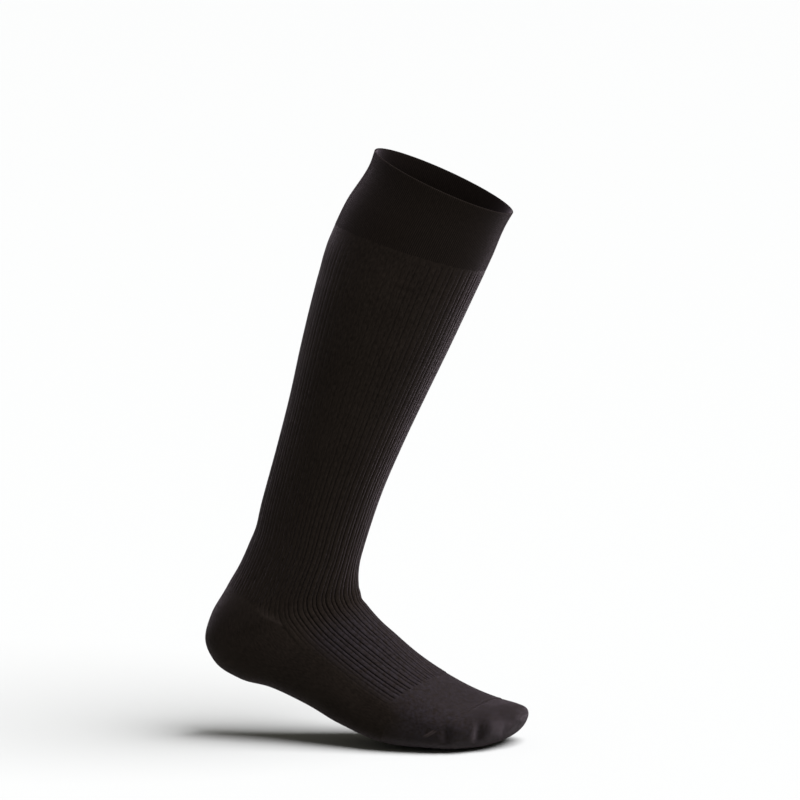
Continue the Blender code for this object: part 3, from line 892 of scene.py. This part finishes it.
# %% Hollows between the toes' places
TOE_DIPS = np.array([
    # ahead and across in mm from the origin, height in mm over the floor, half breadth, half
    # height, and depth in mm, which is negative for a swell
    (10.6, -43.2, 13.0, 3.7, 9.0, 2.9),
    (20.5, -39.0, 20.0, 4.2, 8.0, -0.6),
    (33.2, -30.6, 13.0, 3.9, 9.0, 2.6),
    (41.0, -24.0, 16.0, 4.2, 9.0, -0.8),
    (50.0, -13.5, 12.0, 3.8, 8.0, 1.4),
    (58.5, 2.5, 11.0, 4.2, 8.0, 0.9),
    (3.0, -28.0, 38.0, 7.0, 9.0, 0.35),
    (24.0, -16.0, 32.0, 6.0, 9.0, 0.45),
    (36.0, -2.0, 31.0, 6.0, 9.0, 0.40),
    (44.0, 14.0, 30.0, 7.0, 9.0, 0.35),
])


def toe_relief(run, wale):
    """Hollows between the toes' places and low swells over them: each is its depth times a bell
    of the distance in plan and a bell of the height over the floor."""
    ahead, across, up = np.moveaxis(tube(run, wale) - ORIGIN * (1, 1, 0), -1, 0)
    total = np.zeros(ahead.shape)
    for place_x, place_y, height, breadth, tall, depth in TOE_DIPS:
        plan = ((ahead - place_x) ** 2 + (across - place_y) ** 2) / breadth**2
        total -= depth * np.exp(-plan - ((up - height) / tall) ** 2)
    return total


print("hollows:", (TOE_DIPS[:, 5] > 0).sum(), "swells:", (TOE_DIPS[:, 5] < 0).sum())

# %% The linked seam
SEAM_TOP, SEAM_FALL, SEAM_POWER = 540.0, 122.0, 3.17
RIDGE, RIDGE_FURROW, RIDGE_BREADTH, RIDGE_APART = 0.22, 0.24, 1.1, 2.2
THREAD_APART, THREAD_BREADTH, HOLE_BREADTH, HOLES_A_WALE = 1.1, 0.55, 1.2, 60.0


def seam_run(wale):
    """The linked seam over the toes: furthest forward in the middle, and back to each side by a
    little more than the cube of the wale."""
    return SEAM_TOP - SEAM_FALL * folded(wale) ** SEAM_POWER


def seam_relief(run, wale):
    """A low ridge along the seam with a furrow ahead of it, fading out at both sides."""
    ahead = run - seam_run(wale)
    ridge = RIDGE * np.exp(-((ahead / RIDGE_BREADTH) ** 2))
    furrow = RIDGE_FURROW * np.exp(-(((ahead - RIDGE_APART) / RIDGE_BREADTH) ** 2))
    return (1 - ease((folded(wale) - 0.56) / 0.03)) * (ridge - furrow)


def thread_ends(run, wale):
    """Two pale lengths of linking thread beside each other at both ends of that seam: a narrow
    bell on either side of its line."""
    side, off = folded(wale), run - seam_run(wale)
    there = ease((side - 0.50) / 0.02) * (1 - ease((side - 0.555) / 0.02))
    ahead = np.exp(-(((off - THREAD_APART) / THREAD_BREADTH) ** 2))
    return there * (ahead + np.exp(-(((off + THREAD_APART) / THREAD_BREADTH) ** 2)))


def needle_hole_shade(run, wale):
    """Painted shade in small holes along the seam, clearer towards its ends: a bell across it times
    the square of a sine along it."""
    side = folded(wale)
    there = (0.2 + 0.5 * ease((side - 0.28) / 0.15)) * (1 - ease((side - 0.50) / 0.03))
    beat = 0.5 + 0.5 * np.sin(2 * np.pi * side * HOLES_A_WALE)
    return there * beat**2 * np.exp(-(((run - seam_run(wale)) / HOLE_BREADTH) ** 2))


print("run of the seam in the middle and at its ends:", seam_run(np.array([0.0, 0.57])).round(1))

# %% The toe
TOE_COLUMNS, TOE_ROWS, CAP_ROWS, CAP_LENGTH, CAP_POINT = 340, 124, 7, 1.1, 0.004
wale = -0.5 + np.arange(TOE_COLUMNS) * 2.0 / TOE_COLUMNS
spread = even_rows(TOE_ROWS, 0.002)
run = rows_between(toe_edge(wale), np.full(TOE_COLUMNS, LAST), spread)
rise = PLAIN_RISE + creases(run, wale[None, :]) + toe_relief(run, wale[None, :])
rise = rise + seam_relief(run, wale[None, :])
points = cloth(run, wale[None, :], rise)
middle = points[-1].mean(axis=0)
bend = np.linspace(0.0, 0.5, CAP_ROWS + 1)[1:] * np.pi
lead = np.sin(bend) * CAP_LENGTH * MM
cap = middle + (points[-1] - middle)[None] * np.maximum(np.cos(bend), CAP_POINT)[:, None, None]
cap[..., 0] += lead[:, None]
points = np.concatenate([points, cap])
run = np.concatenate([run, LAST + np.broadcast_to(lead[:, None] / MM, (CAP_ROWS, TOE_COLUMNS))])
# Painted shade in the needle holes, through the mark furrow.
marks = {
    "furrow": needle_hole_shade(run, wale[None, :]),
    "thin": 0.5 * thread_ends(run, wale[None, :]),
    "full": fullness_and_painted_light(run, wale[None, :]),
}
toe = mesh_from_grid("toe_knit", points, wale, run, True, marks, TOE_KNIT)
thicken(toe, SHEET)
report(toe, layers=2)

# %% [markdown]
# ## The band under the knee
#
# The band is a double layer: it is knitted twice as deep, folded over, and joined to the leg. That
# fold is the soft rounded rim. So the band is a closed loop in section: down the outer layer, back
# up the inner one, and round the fold. Its knit is a fine rib, six narrow columns to each repeat
# of the leg's ribs.

# %% The band
BAND_POINTS, BAND_ROWS, BAND_INSIDE, BAND_RIB, FOLD_ROWS = 4, 24, -1.0, 0.08, 9
column = np.arange(6 * REPEATS * BAND_POINTS)
wale = -0.5 + column * 2.0 / len(column)
fine_rib = -np.cos(column * 2 * np.pi / BAND_POINTS)
half = (PLAIN_RISE - BAND_INSIDE) / 2
bend = np.linspace(0.0, np.pi, FOLD_ROWS)
edge = cuff_edge(wale)
down = half + (edge[None, :] - half) * np.linspace(0.0, 1.0, BAND_ROWS)[:, None]
over = half * (1 - np.sin(bend))[:, None] + 0 * edge[None, :]
run = np.concatenate([down[::-1], over[1:-1], down])
outer = np.full(BAND_ROWS, PLAIN_RISE)
fold = (PLAIN_RISE + BAND_INSIDE) / 2 + half * np.cos(bend)[1:-1]
level = np.concatenate([outer, fold, np.full(BAND_ROWS, BAND_INSIDE)])
outside = np.concatenate([np.ones(BAND_ROWS), np.cos(bend)[1:-1].clip(0), np.zeros(BAND_ROWS)])
rise = level[:, None] + outside[:, None] * BAND_RIB * fine_rib[None, :] + creases(run, wale[None, :])
points = cloth(run, wale[None, :], rise)
points = np.concatenate([points, points[:1]])[::-1]
run = np.concatenate([run, run[:1]])[::-1]
# Painted shade in the fine rib's furrows, through the mark furrow.
marks = {"furrow": 0.5 - 0.5 * fine_rib, "thin": 0.0, "full": 0.0}
band = mesh_from_grid("band_knit", points, wale, run, True, marks, BAND_KNIT)
report(band, layers=1)

# %% [markdown]
# ## Hand over
#
# Each sheet stands for the solid of its section, rides on the stocking's one body, and says how
# large its cloth is. The cut is the relaxed, flat cloth, all round, so the worn sheet is about a
# third larger: compression knit is always worn stretched.

SHEETS = (
    (band, "cuff_band", (0.270, 0.105)),
    (leg, "leg_tube", (0.250, 0.265)),
    (heel, "heel_pocket", (0.105, 0.070)),
    (foot, "foot_tube", (0.190, 0.110)),
    (toe, "toe_cap", (0.180, 0.075)),
)
for piece, node, flat in SHEETS:
    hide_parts(node)
    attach(piece, "root")
    width, length = (round(side / MM) for side in flat)
    print(piece.name, "stands for", node, "and is cut in mm:", width, "by", length)

# %% Print the sizes and finish
bpy.context.view_layer.update()
low, high = (list(corner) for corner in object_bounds())
past = [round((b - a) / MM, 2) for a, b in zip(cad_low + cad_high, low + high)]
print("visual less CAD in mm:", past)
